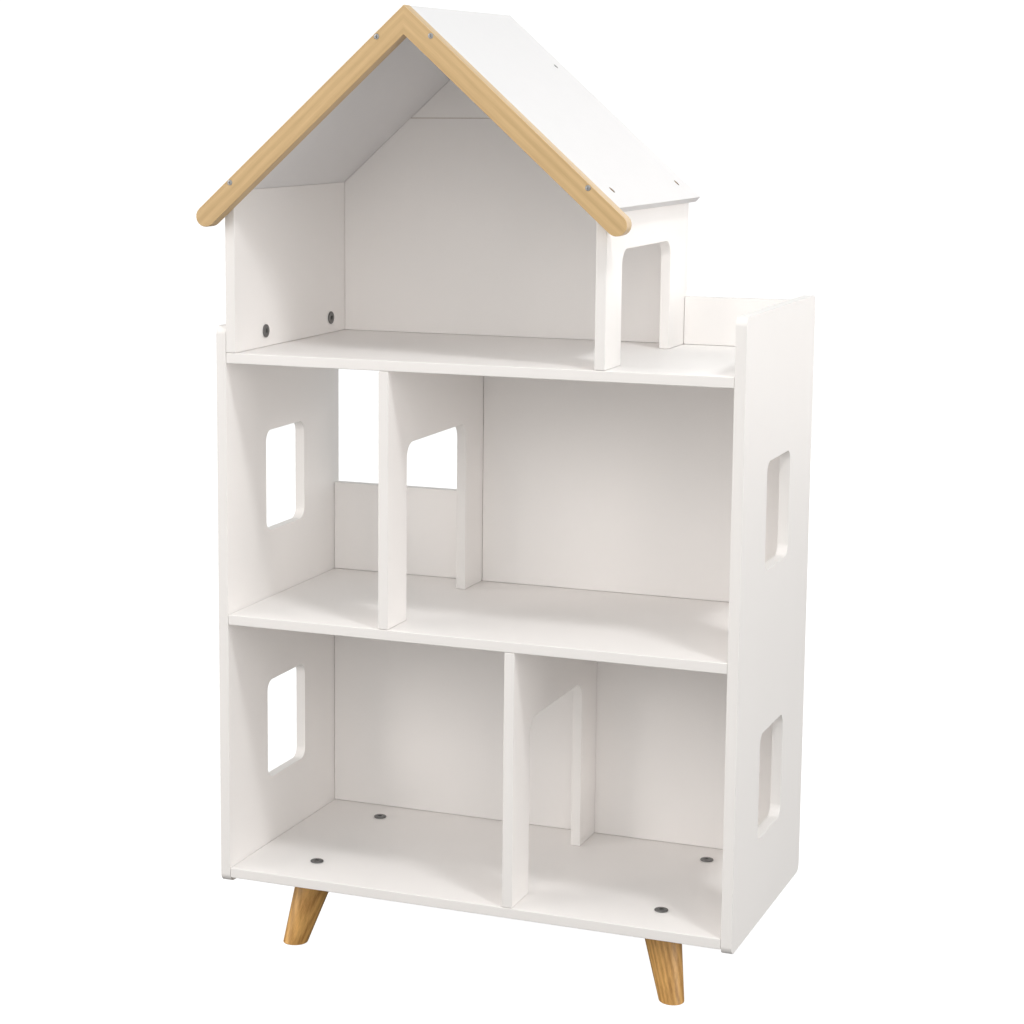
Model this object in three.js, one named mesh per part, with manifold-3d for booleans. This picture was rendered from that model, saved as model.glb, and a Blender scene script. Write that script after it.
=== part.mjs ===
// A painted wooden dollhouse in the form of a small bookcase on four splayed legs.
// Two floors of rooms stand between two side panels. On top sit an attic room under a
// pitched roof, and beside it an open terrace. Millimetres, +Z up, the open front faces -Y.
// The origin is on the ground, under the middle of the whole house.

import * as THREE from 'three';
import { mergeVertices } from 'three/addons/utils/BufferGeometryUtils.js';
import Module from 'manifold-3d';

const wasm = await Module();
wasm.setup();

// ---------------------------------------------------------------- driving dimensions

// the body
const BODY_WIDTH = 620; // over the two side panels
const BODY_DEPTH = 316;
const BOARD = 12; // thickness of the side panels, shelves, dividers and walls
const GAP = 0.3; // between pieces that touch
const ROOM_HEIGHT = 295; // clear height of both floors
const SIDE_DROP = 6; // how far the side panels reach below the bottom board
const LEFT_PARAPET = 31; // side panels' height above the top shelf
const RIGHT_PARAPET = 63;
const CORNER_RADIUS = 10; // the side panels' corners
const BACK_INSET = 3; // the back panels stand this far in from the rear edges

// windows and doors
const WINDOW_WIDTH = 107;
const WINDOW_HEIGHT = 122;
const WINDOW_SILL = 81; // above each floor
const WINDOW_RADIUS = 13;
const DOOR_WIDTH = 187;
const DOOR_HEIGHT = 206;
const ATTIC_DOOR_HEIGHT = 126;
const DOOR_RADIUS = 18;
const DOOR_FRONT_LEG = 56; // wall between the front edge and the doorway

// where the inner walls stand, measured from the inner face of the left side panel
const MIDDLE_DIVIDER_AT = 190.5;
const BOTTOM_DIVIDER_AT = 343;
const LOW_PANEL_HEIGHT = 112;

// attic, roof and terrace
const ATTIC_WIDTH = 454; // over the two attic walls
const ATTIC_WALL_HEIGHT = 175; // at the walls' outer faces
const ATTIC_SEAM_HEIGHT = 265; // where the two boards of the gable meet
const ATTIC_BACK_BOARD = 8;
const RAIL_HEIGHT = 57;
const ROOF_PITCH = THREE.MathUtils.degToRad(41.7);
const ROOF_SHEET = 8;
const EAVE_OVERHANG = 13.5; // past the attic walls' outer faces
const TRIM_WIDTH = 23.5;
const TRIM_DEPTH = 18;
const TRIM_TAIL = 25; // how far the trim runs on past the eave

// legs
const LEG_HEIGHT = 84;
const LEG_TOP_RADIUS = 22.5;
const LEG_FOOT_RADIUS = 14;
const LEG_SPLAY = 20; // each foot stands this far out, sideways and front to back
const LEG_INSET_X = 97; // leg's centre from the side panels' outer faces
const LEG_INSET_Y = 62; // leg's centre from the front and rear edges

// fasteners
const BOLT_HEAD_RADIUS = 7.8;
const BOLT_HEAD_HEIGHT = 1.8;
const BOLT_RADIUS = 3;
const BOLT_RIM = 0.6; // chamfer round the head and the shank's end
const BOLT_SOCKET_RADIUS = 2.3;
const BOLT_SOCKET_DEPTH = 1.4;
const INSERT_RADIUS = 5;
const LEG_BOLT_REACH = 20; // into the leg
const LEG_INSERT_LENGTH = 16;
const POCKET_SPARE = 1; // room past the end of a bolt
const ATTIC_BOLT_REACH = 7; // into the side panel
const ATTIC_BOLT_RISE = 19; // above the top shelf
const ATTIC_BOLT_FRONT = 79; // from the front edge
const ATTIC_BOLT_REAR = 52; // from the rear edge
const SCREW_HEAD_RADIUS = 3;
const SCREW_HEAD_HEIGHT = 1.8;
const SCREW_RIM = 0.2;
const SCREW_RADIUS = 1.5;
const TRIM_SCREW_TOP = 46; // from the roof's apex, down the slope
const TRIM_SCREW_EAVE = 36; // from the eave, up the slope
const TRIM_SCREW_REACH = 20; // into the roof sheet's edge
const ROOF_SCREW_INSET = 34; // from the front and rear edges
const ROOF_SCREW_REACH = 20; // into the attic wall
const CLEAT_DOWN = 93; // from the apex, down the slope
const CLEAT_LENGTH = 24;
const CLEAT_HEIGHT = 12;
const CLEAT_DEPTH = 36;
const CLEAT_SCREW_INSET = 30; // from the rear edge
const CLEAT_SCREW_REACH = 9;
const DOWEL_RADIUS = 3;
const DOWEL_IN_SIDE = 8;
const DOWEL_IN_SHELF = 20;
const DOWEL_INSET = 45; // from the front and rear edges
const BORE_CLEARANCE = 0.3; // around every shank, dowel and insert

// ---------------------------------------------------------------- derived places

const INNER_LEFT = -BODY_WIDTH / 2 + BOARD;
const INNER_RIGHT = BODY_WIDTH / 2 - BOARD;
const BOTTOM_FLOOR = LEG_HEIGHT + BOARD;
const MIDDLE_FLOOR = BOTTOM_FLOOR + ROOM_HEIGHT + BOARD;
const TOP_FLOOR = MIDDLE_FLOOR + ROOM_HEIGHT + BOARD;
const BACK_FRONT = BODY_DEPTH - BACK_INSET - BOARD; // front face of the back panels

const ATTIC_LEFT = INNER_LEFT + GAP; // outer face of the attic's left wall
const ATTIC_RIGHT = ATTIC_LEFT + ATTIC_WIDTH;
const RIDGE_X = (ATTIC_LEFT + ATTIC_RIGHT) / 2;
const RISE = Math.tan(ROOF_PITCH);
const SHEET_DROP = ROOF_SHEET / Math.cos(ROOF_PITCH); // sheet thickness, measured plumb
const UNDER_RIDGE = ATTIC_WALL_HEIGHT + GAP + (ATTIC_WIDTH / 2) * RISE; // above the top shelf
const ROOF_LENGTH = (ATTIC_WIDTH / 2 + EAVE_OVERHANG) / Math.cos(ROOF_PITCH);
const TRIM_LENGTH = ROOF_LENGTH + TRIM_TAIL;

const ARC_STEPS = 5;
const BOLT_SIDES = 24;
const SCREW_SIDES = 14;
const DOWEL_SIDES = 12;
const LEG_SIDES = 40;

// ---------------------------------------------------------------- materials

function paint() {
  return new THREE.MeshStandardMaterial({ color: 0xece9e5, roughness: 0.55, metalness: 0 });
}

function pine() {
  return new THREE.MeshStandardMaterial({ color: 0xd2a468, roughness: 0.5, metalness: 0 });
}

function beech() {
  return new THREE.MeshStandardMaterial({ color: 0xc8996a, roughness: 0.7, metalness: 0 });
}

function steel() {
  return new THREE.MeshStandardMaterial({ color: 0x77757a, roughness: 0.4, metalness: 0.9 });
}

// ---------------------------------------------------------------- solids, cuts and placing

function toSolid(geometry) {
  const bare = geometry.clone();
  bare.deleteAttribute('normal');
  bare.deleteAttribute('uv');
  const welded = mergeVertices(bare, 1e-4);
  return new wasm.Manifold(new wasm.Mesh({
    numProp: 3,
    vertProperties: new Float32Array(welded.attributes.position.array),
    triVerts: new Uint32Array(welded.index.array),
  }));
}

function toGeometry(solid) {
  const mesh = solid.getMesh();
  const geometry = new THREE.BufferGeometry();
  geometry.setAttribute('position', new THREE.BufferAttribute(mesh.vertProperties, 3));
  geometry.setIndex(new THREE.BufferAttribute(mesh.triVerts, 1));
  geometry.computeVertexNormals();
  return geometry;
}

// cuts every tool out of a piece, all in the piece's own coordinates
function cut(geometry, tools) {
  let solid = toSolid(geometry);
  for (const tool of tools) {
    solid = solid.subtract(toSolid(tool));
  }
  return toGeometry(solid);
}

function keepInside(geometry, box) {
  return toGeometry(toSolid(geometry).intersect(toSolid(box)));
}

function extrude(shape, depth) {
  return new THREE.ExtrudeGeometry(shape, { depth, bevelEnabled: false, curveSegments: ARC_STEPS });
}

// a flat piece whose outline is drawn as (y, z); it is `depth` thick along +X
function facingX(shape, depth) {
  const axes = new THREE.Matrix4().makeBasis(
    new THREE.Vector3(0, 1, 0),
    new THREE.Vector3(0, 0, 1),
    new THREE.Vector3(1, 0, 0),
  );
  return extrude(shape, depth).applyMatrix4(axes);
}

// a flat piece whose outline is drawn as (x, z); it is `depth` thick along +Y
function facingY(shape, depth) {
  return extrude(shape, depth).rotateX(Math.PI / 2).translate(0, depth, 0);
}

function block(x0, x1, y0, y1, z0, z1) {
  const box = new THREE.BoxGeometry(x1 - x0, y1 - y0, z1 - z0);
  return box.translate((x0 + x1) / 2, (y0 + y1) / 2, (z0 + z1) / 2);
}

// a solid of revolution about +Z from a list of [radius, height] points
function turned(profile, sides) {
  const points = profile.map(([radius, height]) => new THREE.Vector2(radius, height));
  return new THREE.LatheGeometry(points, sides).rotateX(Math.PI / 2);
}

// turns a bore made along +Z so that it runs along -X
function alongMinusX(geometry) {
  return geometry.rotateY(-Math.PI / 2);
}

function piece(name, geometry, material, x = 0, y = 0, z = 0) {
  const mesh = new THREE.Mesh(geometry, material);
  mesh.name = name;
  mesh.position.set(x, y, z);
  return mesh;
}

// ---------------------------------------------------------------- outlines

function roundedRectangle(path, x0, y0, x1, y1, radius) {
  path.moveTo(x0 + radius, y0);
  path.lineTo(x1 - radius, y0);
  path.absarc(x1 - radius, y0 + radius, radius, -Math.PI / 2, 0, false);
  path.lineTo(x1, y1 - radius);
  path.absarc(x1 - radius, y1 - radius, radius, 0, Math.PI / 2, false);
  path.lineTo(x0 + radius, y1);
  path.absarc(x0 + radius, y1 - radius, radius, Math.PI / 2, Math.PI, false);
  path.lineTo(x0, y0 + radius);
  path.absarc(x0 + radius, y0 + radius, radius, Math.PI, Math.PI * 1.5, false);
  return path;
}

function outline(points) {
  return new THREE.Shape(points.map(([x, y]) => new THREE.Vector2(x, y)));
}

// a wall from y = 0 to `depth`, with a doorway that is open at the floor
function wallWithDoor(depth, height, doorHeight) {
  const front = DOOR_FRONT_LEG;
  const back = front + DOOR_WIDTH;
  const radius = Math.min(DOOR_RADIUS, DOOR_WIDTH / 2, doorHeight);
  const shape = new THREE.Shape();
  shape.moveTo(0, 0);
  shape.lineTo(front, 0);
  shape.lineTo(front, doorHeight - radius);
  shape.absarc(front + radius, doorHeight - radius, radius, Math.PI, Math.PI / 2, true);
  shape.lineTo(back - radius, doorHeight);
  shape.absarc(back - radius, doorHeight - radius, radius, Math.PI / 2, 0, true);
  shape.lineTo(back, 0);
  shape.lineTo(depth, 0);
  shape.lineTo(depth, height);
  shape.lineTo(0, height);
  return shape;
}

// ---------------------------------------------------------------- fasteners

// a flat-headed bolt: the underside of the head is at z = 0 and the shank points down
function boltGeometry(reach) {
  const body = turned([
    [0, -reach],
    [BOLT_RADIUS - BOLT_RIM, -reach],
    [BOLT_RADIUS, -reach + BOLT_RIM],
    [BOLT_RADIUS, 0],
    [BOLT_HEAD_RADIUS, 0],
    [BOLT_HEAD_RADIUS, BOLT_HEAD_HEIGHT - BOLT_RIM],
    [BOLT_HEAD_RADIUS - BOLT_RIM, BOLT_HEAD_HEIGHT],
    [0, BOLT_HEAD_HEIGHT],
  ], BOLT_SIDES);
  const floor = BOLT_HEAD_HEIGHT - BOLT_SOCKET_DEPTH;
  return cut(body, [bore(BOLT_SOCKET_RADIUS, floor, BOLT_HEAD_HEIGHT + 1, 6)]);
}

// the threaded sleeve that the bolt runs into, its mouth at z = 0
function insertGeometry(length) {
  const bore = BOLT_RADIUS + BORE_CLEARANCE;
  return turned([
    [bore, -length],
    [INSERT_RADIUS, -length],
    [INSERT_RADIUS, 0],
    [bore, 0],
    [bore, -length],
  ], BOLT_SIDES);
}

// a countersunk screw: the top of the head is at z = 0 and the point is at the bottom
function screwGeometry(length) {
  return turned([
    [0, -length],
    [SCREW_RADIUS, -length + SCREW_RADIUS * 2],
    [SCREW_RADIUS, -SCREW_HEAD_HEIGHT],
    [SCREW_HEAD_RADIUS, -SCREW_RIM],
    [SCREW_HEAD_RADIUS, 0],
    [0, 0],
  ], SCREW_SIDES);
}

// the hole that such a screw sits in
function screwHole(length) {
  const head = SCREW_HEAD_RADIUS + BORE_CLEARANCE;
  const shank = SCREW_RADIUS + BORE_CLEARANCE;
  return turned([
    [0, -length - BORE_CLEARANCE],
    [shank, -length - BORE_CLEARANCE],
    [shank, -SCREW_HEAD_HEIGHT - BORE_CLEARANCE],
    [head, -SCREW_RIM - BORE_CLEARANCE],
    [head, 1],
    [0, 1],
  ], SCREW_SIDES);
}

function bore(radius, z0, z1, sides = BOLT_SIDES) {
  return turned([[0, z0], [radius, z0], [radius, z1], [0, z1]], sides);
}

// ---------------------------------------------------------------- dowelled shelf joints

const DOWEL_PLACES = { front: DOWEL_INSET, rear: BODY_DEPTH - DOWEL_INSET };

// the heights of the three boards' middles, which is where their dowels lie
const BOARDS = {
  bottom_board: BOTTOM_FLOOR - BOARD,
  middle_shelf: MIDDLE_FLOOR - BOARD,
  top_shelf: TOP_FLOOR - BOARD,
};

function dowelBore(reachLeft, reachRight) {
  const radius = DOWEL_RADIUS + BORE_CLEARANCE;
  return bore(radius, -reachLeft, reachRight, DOWEL_SIDES).rotateY(Math.PI / 2);
}

function dowels() {
  const made = [];
  for (const [board, underside] of Object.entries(BOARDS)) {
    for (const [side, sign] of [['left', -1], ['right', 1]]) {
      for (const [place, y] of Object.entries(DOWEL_PLACES)) {
        const length = DOWEL_IN_SIDE + DOWEL_IN_SHELF;
        const pin = bore(DOWEL_RADIUS, -length / 2, length / 2, DOWEL_SIDES).rotateY(Math.PI / 2);
        const x = sign * (INNER_RIGHT + (DOWEL_IN_SIDE - DOWEL_IN_SHELF) / 2);
        made.push(piece(`dowel_${board}_${side}_${place}`, pin, beech(), x, y, underside + BOARD / 2));
      }
    }
  }
  return made;
}

// ---------------------------------------------------------------- body

// a side panel with a window on each floor; `sign` is -1 for the left and 1 for the right
function sidePanel(sign, parapet) {
  const bottom = LEG_HEIGHT - SIDE_DROP;
  const top = TOP_FLOOR + parapet;
  const shape = roundedRectangle(new THREE.Shape(), 0, bottom, BODY_DEPTH, top, CORNER_RADIUS);
  for (const floor of [BOTTOM_FLOOR, MIDDLE_FLOOR]) {
    const y0 = (BODY_DEPTH - WINDOW_WIDTH) / 2;
    const z0 = floor + WINDOW_SILL;
    const window = new THREE.Path();
    roundedRectangle(window, y0, z0, y0 + WINDOW_WIDTH, z0 + WINDOW_HEIGHT, WINDOW_RADIUS);
    shape.holes.push(window);
  }
  const inner = sign < 0 ? BOARD : 0; // x of the inner face, in the panel's own coordinates
  const pockets = [];
  for (const underside of Object.values(BOARDS)) {
    for (const y of Object.values(DOWEL_PLACES)) {
      const reach = DOWEL_IN_SIDE + BORE_CLEARANCE;
      const pocket = sign < 0 ? dowelBore(reach, 1) : dowelBore(1, reach);
      pockets.push(pocket.translate(inner, y, underside + BOARD / 2));
    }
  }
  if (sign < 0) {
    for (const y of ATTIC_BOLTS) {
      const reach = ATTIC_BOLT_REACH + POCKET_SPARE;
      const pocket = alongMinusX(bore(INSERT_RADIUS + BORE_CLEARANCE, -1, reach));
      pockets.push(pocket.translate(inner, y, TOP_FLOOR + ATTIC_BOLT_RISE));
    }
  }
  return cut(facingX(shape, BOARD), pockets);
}

// a horizontal board between the side panels, with a pocket for each dowel in its ends
function shelfGeometry(extraCuts = []) {
  const cuts = [...extraCuts];
  for (const y of Object.values(DOWEL_PLACES)) {
    const reach = DOWEL_IN_SHELF + BORE_CLEARANCE;
    cuts.push(dowelBore(1, reach).translate(INNER_LEFT, y, BOARD / 2));
    cuts.push(dowelBore(reach, 1).translate(INNER_RIGHT, y, BOARD / 2));
  }
  return cut(block(INNER_LEFT + GAP, INNER_RIGHT - GAP, 0, BODY_DEPTH, 0, BOARD), cuts);
}

const LEGS = [
  ['front_left', -1, -1],
  ['front_right', 1, -1],
  ['rear_left', -1, 1],
  ['rear_right', 1, 1],
].map(([name, sideways, depthways]) => ({
  name,
  sideways,
  depthways,
  x: sideways * (BODY_WIDTH / 2 - LEG_INSET_X),
  y: depthways < 0 ? LEG_INSET_Y : BODY_DEPTH - LEG_INSET_Y,
}));

const ATTIC_BOLTS = [ATTIC_BOLT_FRONT, BODY_DEPTH - ATTIC_BOLT_REAR];

function bottomBoard() {
  const radius = BOLT_RADIUS + BORE_CLEARANCE;
  return shelfGeometry(LEGS.map((leg) => bore(radius, -1, BOARD + 1).translate(leg.x, leg.y, 0)));
}

// a tapered round leg, splayed outwards and cut level at both ends, its top centre at the origin
function legGeometry(leg) {
  const foot = new THREE.Vector3(leg.sideways * LEG_SPLAY, leg.depthways * LEG_SPLAY, -LEG_HEIGHT);
  const length = foot.length();
  const spare = LEG_TOP_RADIUS; // beyond each end, so that the level cuts pass right through
  const taper = (LEG_TOP_RADIUS - LEG_FOOT_RADIUS) / length;
  const cone = turned([
    [0, -length - spare],
    [LEG_FOOT_RADIUS - taper * spare, -length - spare],
    [LEG_TOP_RADIUS + taper * spare, spare],
    [0, spare],
  ], LEG_SIDES);
  const down = new THREE.Vector3(0, 0, -1);
  cone.applyQuaternion(new THREE.Quaternion().setFromUnitVectors(down, foot.normalize()));
  const reach = LEG_TOP_RADIUS * 2 + LEG_SPLAY;
  const level = keepInside(cone, block(-reach, reach, -reach, reach, -LEG_HEIGHT, -GAP));
  return cut(level, [bore(INSERT_RADIUS + BORE_CLEARANCE, -LEG_BOLT_REACH - POCKET_SPARE, 1)]);
}

function legs() {
  const made = [];
  for (const leg of LEGS) {
    const bolt = boltGeometry(BOARD + LEG_BOLT_REACH);
    const insert = insertGeometry(LEG_INSERT_LENGTH);
    made.push(
      piece(`leg_${leg.name}`, legGeometry(leg), pine(), leg.x, leg.y, LEG_HEIGHT),
      piece(`leg_bolt_${leg.name}`, bolt, steel(), leg.x, leg.y, BOTTOM_FLOOR + GAP),
      piece(`leg_insert_${leg.name}`, insert, steel(), leg.x, leg.y, LEG_HEIGHT - GAP * 2),
    );
  }
  return made;
}

// ---------------------------------------------------------------- rooms

function rooms() {
  const clear = ROOM_HEIGHT - 2 * GAP;
  const middleAt = INNER_LEFT + MIDDLE_DIVIDER_AT;
  const bottomAt = INNER_LEFT + BOTTOM_DIVIDER_AT;
  const middleDivider = facingX(wallWithDoor(BODY_DEPTH - BACK_INSET, clear, DOOR_HEIGHT), BOARD);
  const bottomDivider = facingX(wallWithDoor(BACK_FRONT - GAP, clear, DOOR_HEIGHT), BOARD);
  const bottomBack = block(INNER_LEFT + GAP, INNER_RIGHT - GAP, 0, BOARD, 0, clear);
  const lowPanel = block(INNER_LEFT + GAP, middleAt - GAP, 0, BOARD, 0, LOW_PANEL_HEIGHT);
  const middleBack = block(middleAt + BOARD + GAP, INNER_RIGHT - GAP, 0, BOARD, 0, clear);
  const low = BOTTOM_FLOOR + GAP;
  const high = MIDDLE_FLOOR + GAP;
  return [
    piece('bottom_divider', bottomDivider, paint(), bottomAt, 0, low),
    piece('bottom_back_panel', bottomBack, paint(), 0, BACK_FRONT, low),
    piece('middle_divider', middleDivider, paint(), middleAt, 0, high),
    piece('middle_low_panel', lowPanel, paint(), 0, BACK_FRONT, high),
    piece('middle_back_panel', middleBack, paint(), 0, BACK_FRONT, high),
  ];
}

// ---------------------------------------------------------------- attic and terrace
// In the attic's group x = 0 is under the ridge and z = 0 is the top shelf's upper face.

const HALF_ATTIC = ATTIC_WIDTH / 2;

// the height of the roof sheets' underside at a distance from the ridge
function underRoof(x) {
  return UNDER_RIDGE - Math.abs(x) * RISE;
}

// vertical screws at the eaves stand in the middle of the attic walls
const EAVE_SCREW_X = HALF_ATTIC - BOARD / 2;
const EAVE_SCREWS = { front: ROOF_SCREW_INSET, rear: BODY_DEPTH - ROOF_SCREW_INSET };
const EAVE_SCREW_SINK = (SCREW_HEAD_RADIUS + BORE_CLEARANCE) * RISE;
const EAVE_SCREW_Z = underRoof(EAVE_SCREW_X) + SHEET_DROP - EAVE_SCREW_SINK;
const EAVE_SCREW_LENGTH = SHEET_DROP - EAVE_SCREW_SINK + ROOF_SCREW_REACH;

function eaveScrewHole() {
  const mouth = bore(SCREW_HEAD_RADIUS + BORE_CLEARANCE, 0, SHEET_DROP, SCREW_SIDES);
  return [mouth, screwHole(EAVE_SCREW_LENGTH)];
}

// an attic wall; its top is planed to the pitch of the roof
function atticWall(sign) {
  const outer = sign * HALF_ATTIC;
  const inner = outer - sign * BOARD;
  const full = underRoof(inner);
  let wall;
  if (sign < 0) {
    wall = block(outer, inner, 0, BODY_DEPTH, GAP, full);
  } else {
    wall = facingX(wallWithDoor(BODY_DEPTH, full - GAP, ATTIC_DOOR_HEIGHT), BOARD)
      .translate(inner, 0, GAP);
  }
  const aboveRoof = outline([
    [inner - sign, underRoof(inner - sign) - GAP],
    [outer + sign, underRoof(outer + sign) - GAP],
    [outer + sign, full + BOARD],
    [inner - sign, full + BOARD],
  ]);
  const cuts = [facingY(aboveRoof, BODY_DEPTH + 2).translate(0, -1, 0)];
  for (const y of Object.values(EAVE_SCREWS)) {
    for (const tool of eaveScrewHole()) {
      cuts.push(tool.translate(sign * EAVE_SCREW_X, y, EAVE_SCREW_Z));
    }
  }
  if (sign < 0) {
    for (const y of ATTIC_BOLTS) {
      const hole = alongMinusX(bore(BOLT_RADIUS + BORE_CLEARANCE, -1, BOARD + 1));
      cuts.push(hole.translate(inner, y, ATTIC_BOLT_RISE));
    }
  }
  return cut(wall, cuts);
}

// the lower board of the gable, clipped where the roof comes down
function atticBackLower() {
  const side = HALF_ATTIC - BOARD - GAP;
  const seam = (UNDER_RIDGE - GAP - ATTIC_SEAM_HEIGHT) / RISE;
  return facingY(outline([
    [-side, GAP],
    [side, GAP],
    [side, underRoof(side) - GAP],
    [seam, ATTIC_SEAM_HEIGHT],
    [-seam, ATTIC_SEAM_HEIGHT],
    [-side, underRoof(side) - GAP],
  ]), ATTIC_BACK_BOARD);
}

function atticBackGable() {
  const bottom = ATTIC_SEAM_HEIGHT + GAP;
  const half = (UNDER_RIDGE - GAP - bottom) / RISE;
  const top = underRoof(0) - GAP;
  return facingY(outline([[-half, bottom], [half, bottom], [0, top]]), ATTIC_BACK_BOARD);
}

function atticBolts() {
  const inner = -HALF_ATTIC + BOARD;
  const made = [];
  for (const [place, y] of [['front', ATTIC_BOLTS[0]], ['rear', ATTIC_BOLTS[1]]]) {
    const bolt = boltGeometry(BOARD + ATTIC_BOLT_REACH).rotateY(Math.PI / 2);
    const insert = insertGeometry(ATTIC_BOLT_REACH).rotateY(Math.PI / 2);
    made.push(
      piece(`attic_bolt_${place}`, bolt, steel(), inner + GAP, y, ATTIC_BOLT_RISE),
      piece(`attic_insert_${place}`, insert, steel(), inner - BOARD - GAP * 2, y, ATTIC_BOLT_RISE),
    );
  }
  return made;
}

// ---------------------------------------------------------------- roof
// Each slope is a group turned to the pitch: x runs down the slope from the ridge (to the
// left when sign is -1), z is square to the sheet, and z = 0 is its upper face.

const CLEAT_Y = BODY_DEPTH - ATTIC_BACK_BOARD - GAP - CLEAT_DEPTH;
const RIDGE_HALF_GAP = GAP / 2 / Math.cos(ROOF_PITCH);
const CLEAT_SCREW_LENGTH = ROOF_SHEET + GAP + CLEAT_SCREW_REACH;
const CLEAT_SCREW_Y = BODY_DEPTH - CLEAT_SCREW_INSET;

const TRIM_SCREWS = {
  upper: TRIM_SCREW_TOP,
  lower: ROOF_LENGTH - TRIM_SCREW_EAVE,
};
const TRIM_SCREW_LENGTH = TRIM_DEPTH + TRIM_SCREW_REACH;

function placeTrimScrew(geometry, sign, down) {
  const front = -GAP - TRIM_DEPTH;
  return geometry.rotateX(Math.PI / 2).translate(sign * down, front, -ROOF_SHEET / 2);
}

function trimScrewCuts(sign) {
  return Object.values(TRIM_SCREWS).map((down) => (
    placeTrimScrew(screwHole(TRIM_SCREW_LENGTH), sign, down)
  ));
}

function roofSheet(sign) {
  const atBottom = RIDGE_HALF_GAP + ROOF_SHEET * RISE;
  const shape = outline([
    [sign * RIDGE_HALF_GAP, 0],
    [sign * ROOF_LENGTH, 0],
    [sign * ROOF_LENGTH, -ROOF_SHEET],
    [sign * atBottom, -ROOF_SHEET],
  ]);
  const cuts = trimScrewCuts(sign);
  const turnBack = new THREE.Matrix4().makeRotationY(-sign * ROOF_PITCH);
  const ridgeHeight = UNDER_RIDGE + SHEET_DROP;
  for (const y of Object.values(EAVE_SCREWS)) {
    for (const tool of eaveScrewHole()) {
      tool.translate(sign * EAVE_SCREW_X, y, EAVE_SCREW_Z - ridgeHeight);
      cuts.push(tool.applyMatrix4(turnBack));
    }
  }
  if (sign > 0) {
    const hole = screwHole(CLEAT_SCREW_LENGTH);
    cuts.push(hole.translate(CLEAT_DOWN, CLEAT_SCREW_Y, 0));
  }
  return cut(facingY(shape, BODY_DEPTH), cuts);
}

// the natural wood board along the front edge of the roof, mitred at the apex
function roofTrim(sign) {
  const radius = TRIM_WIDTH / 2;
  const end = TRIM_LENGTH - radius;
  const atBottom = RIDGE_HALF_GAP + TRIM_WIDTH * RISE;
  const shape = new THREE.Shape();
  shape.moveTo(sign * RIDGE_HALF_GAP, 0);
  shape.lineTo(sign * end, 0);
  if (sign > 0) {
    shape.absarc(end, -radius, radius, Math.PI / 2, -Math.PI / 2, true);
  } else {
    shape.absarc(-end, -radius, radius, Math.PI / 2, Math.PI * 1.5, false);
  }
  shape.lineTo(sign * atBottom, -TRIM_WIDTH);
  return cut(facingY(shape, TRIM_DEPTH).translate(0, -GAP - TRIM_DEPTH, 0), trimScrewCuts(sign));
}

function roofSlope(side, sign) {
  const slope = new THREE.Group();
  slope.rotation.y = sign * ROOF_PITCH;
  slope.add(piece(`roof_sheet_${side}`, roofSheet(sign), paint()));
  slope.add(piece(`roof_trim_${side}`, roofTrim(sign), pine()));
  for (const [place, down] of Object.entries(TRIM_SCREWS)) {
    const screw = placeTrimScrew(screwGeometry(TRIM_SCREW_LENGTH), sign, down);
    slope.add(piece(`trim_screw_${side}_${place}`, screw, steel()));
  }
  if (sign > 0) {
    const top = -ROOF_SHEET - GAP;
    const y1 = CLEAT_Y + CLEAT_DEPTH;
    const x0 = CLEAT_DOWN - CLEAT_LENGTH / 2;
    const cleat = block(x0, x0 + CLEAT_LENGTH, CLEAT_Y, y1, top - CLEAT_HEIGHT, top);
    const hole = screwHole(CLEAT_SCREW_LENGTH)
      .translate(CLEAT_DOWN, CLEAT_SCREW_Y, 0);
    slope.add(piece('roof_cleat', cut(cleat, [hole]), beech()));
    const screw = screwGeometry(CLEAT_SCREW_LENGTH);
    slope.add(piece('roof_screw_right_upper', screw, steel(), CLEAT_DOWN, CLEAT_SCREW_Y, 0));
  }
  return slope;
}

function atticAndTerrace() {
  const attic = new THREE.Group();
  attic.position.set(RIDGE_X, 0, TOP_FLOOR);
  const backAt = BODY_DEPTH - ATTIC_BACK_BOARD;
  attic.add(
    piece('attic_left_wall', atticWall(-1), paint()),
    piece('attic_right_wall', atticWall(1), paint()),
    piece('attic_back_lower', atticBackLower(), paint(), 0, backAt),
    piece('attic_back_gable', atticBackGable(), paint(), 0, backAt),
    ...atticBolts(),
  );
  for (const [side, sign] of [['left', -1], ['right', 1]]) {
    for (const [place, y] of Object.entries(EAVE_SCREWS)) {
      const screw = screwGeometry(EAVE_SCREW_LENGTH);
      const name = `roof_screw_${side}_${place}`;
      attic.add(piece(name, screw, steel(), sign * EAVE_SCREW_X, y, EAVE_SCREW_Z));
    }
    const slope = roofSlope(side, sign);
    slope.position.z = UNDER_RIDGE + SHEET_DROP;
    attic.add(slope);
  }
  const railEnd = INNER_RIGHT - GAP - RIDGE_X;
  const rail = block(HALF_ATTIC + GAP, railEnd, 0, BOARD, GAP, RAIL_HEIGHT);
  attic.add(piece('terrace_rail', rail, paint(), 0, BODY_DEPTH - BOARD));
  return attic;
}

// ---------------------------------------------------------------- the whole house

const house = new THREE.Group();
house.add(
  piece('left_side_panel', sidePanel(-1, LEFT_PARAPET), paint(), -BODY_WIDTH / 2),
  piece('right_side_panel', sidePanel(1, RIGHT_PARAPET), paint(), INNER_RIGHT),
  piece('bottom_board', bottomBoard(), paint(), 0, 0, BOARDS.bottom_board),
  piece('middle_shelf', shelfGeometry(), paint(), 0, 0, BOARDS.middle_shelf),
  piece('top_shelf', shelfGeometry(), paint(), 0, 0, BOARDS.top_shelf),
  ...dowels(),
  ...legs(),
  ...rooms(),
  atticAndTerrace(),
);

// centre the house over the origin: the trims reach past the left side panel and the front
const bounds = new THREE.Box3().setFromObject(house, true);
const middle = bounds.getCenter(new THREE.Vector3());
house.position.set(-middle.x, -middle.y, 0);

export default house;
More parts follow.
